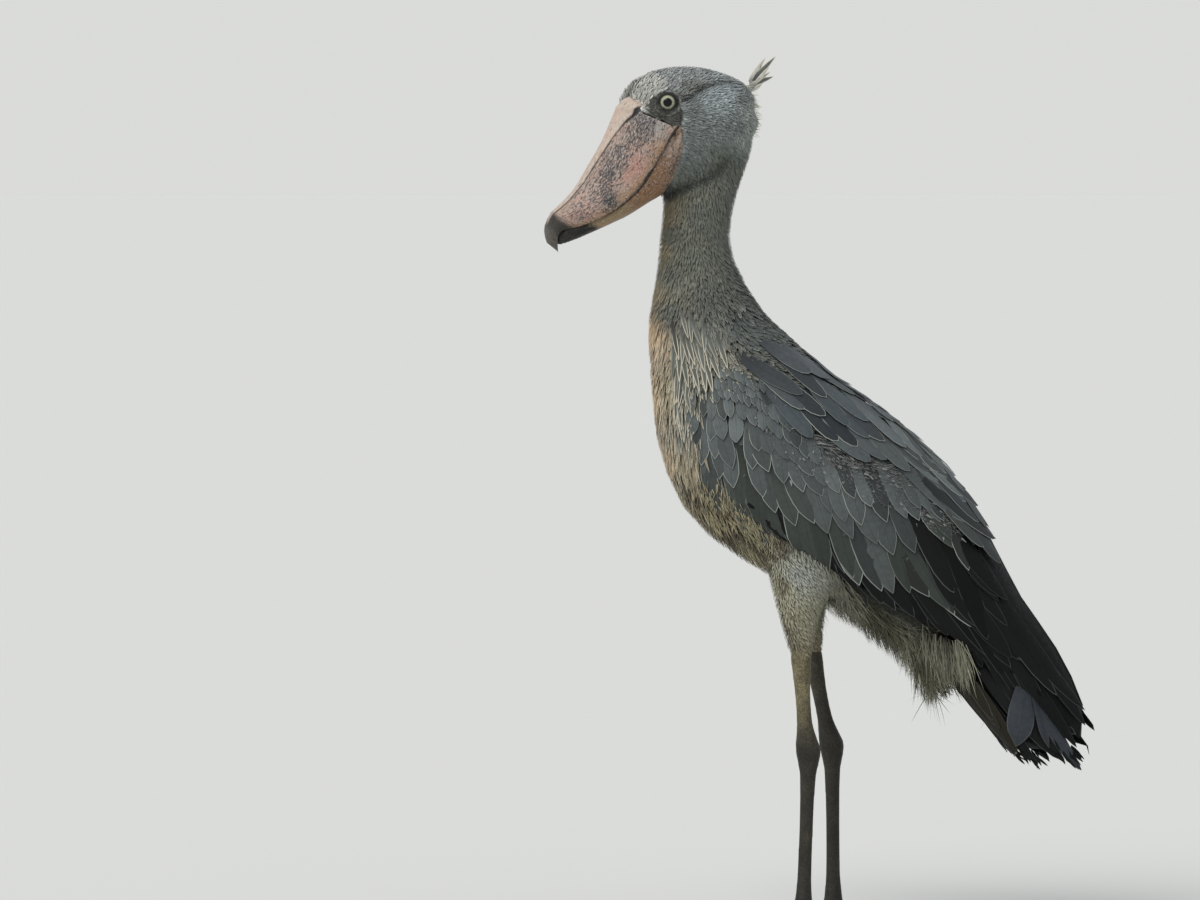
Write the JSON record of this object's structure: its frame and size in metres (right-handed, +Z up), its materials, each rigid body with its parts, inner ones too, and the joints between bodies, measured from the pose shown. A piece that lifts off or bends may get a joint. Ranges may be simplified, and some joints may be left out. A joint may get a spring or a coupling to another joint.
{
  "type": "shoebill",
  "caption": "Life-size standing shoebill with folded wings and its head turned to its left, its large hooked bill closed and pointing down.",
  "frame": {"origin": "on the floor, under the middle of the bird's box", "axes": "+Z up, the bird faces -X, its left side towards -Y"},
  "size_m": [0.7018, 0.2564, 1.1049],
  "materials": {
    "grey_plumage": "soft slate-grey feathers with thin pale edges",
    "pale_plumage": "soft buff-grey feathers with brown streaks",
    "dark_plumage": "slate-black flight feathers",
    "horn": "satin pinkish-tan horn with dark slate blotches",
    "claw": "polished blackish horn",
    "eye": "wet, pale yellowish-grey iris and black pupil",
    "bare_leg": "matt dark grey-brown scaled skin"
  },
  "bodies": {
    "root": {"head": "grey_plumage", "crest": "grey_plumage", "neck_upper": "grey_plumage", "neck_lower": "grey_plumage", "trunk": "pale_plumage", "undertail": "pale_plumage", "thigh_left": "pale_plumage", "thigh_right": "pale_plumage", "wing_arm_left": "grey_plumage", "wing_arm_right": "grey_plumage", "wing_quills_left": "dark_plumage", "wing_quills_right": "dark_plumage", "tail": "dark_plumage", "bill_upper": "horn", "bill_lower": "horn", "eye_left": "eye", "eye_right": "eye", "shin_left": "bare_leg", "shin_right": "bare_leg", "tarsus_left": "bare_leg", "tarsus_right": "bare_leg", "foot_left": "bare_leg", "foot_right": "bare_leg", "toe_inner_left": "bare_leg", "toe_inner_right": "bare_leg", "toe_middle_left": "bare_leg", "toe_middle_right": "bare_leg", "toe_outer_left": "bare_leg", "toe_outer_right": "bare_leg", "toe_hind_left": "bare_leg", "toe_hind_right": "bare_leg", "claw_inner_left": "claw", "claw_inner_right": "claw", "claw_middle_left": "claw", "claw_middle_right": "claw", "claw_outer_left": "claw", "claw_outer_right": "claw", "claw_hind_left": "claw", "claw_hind_right": "claw"}
  },
  "joints": []
}
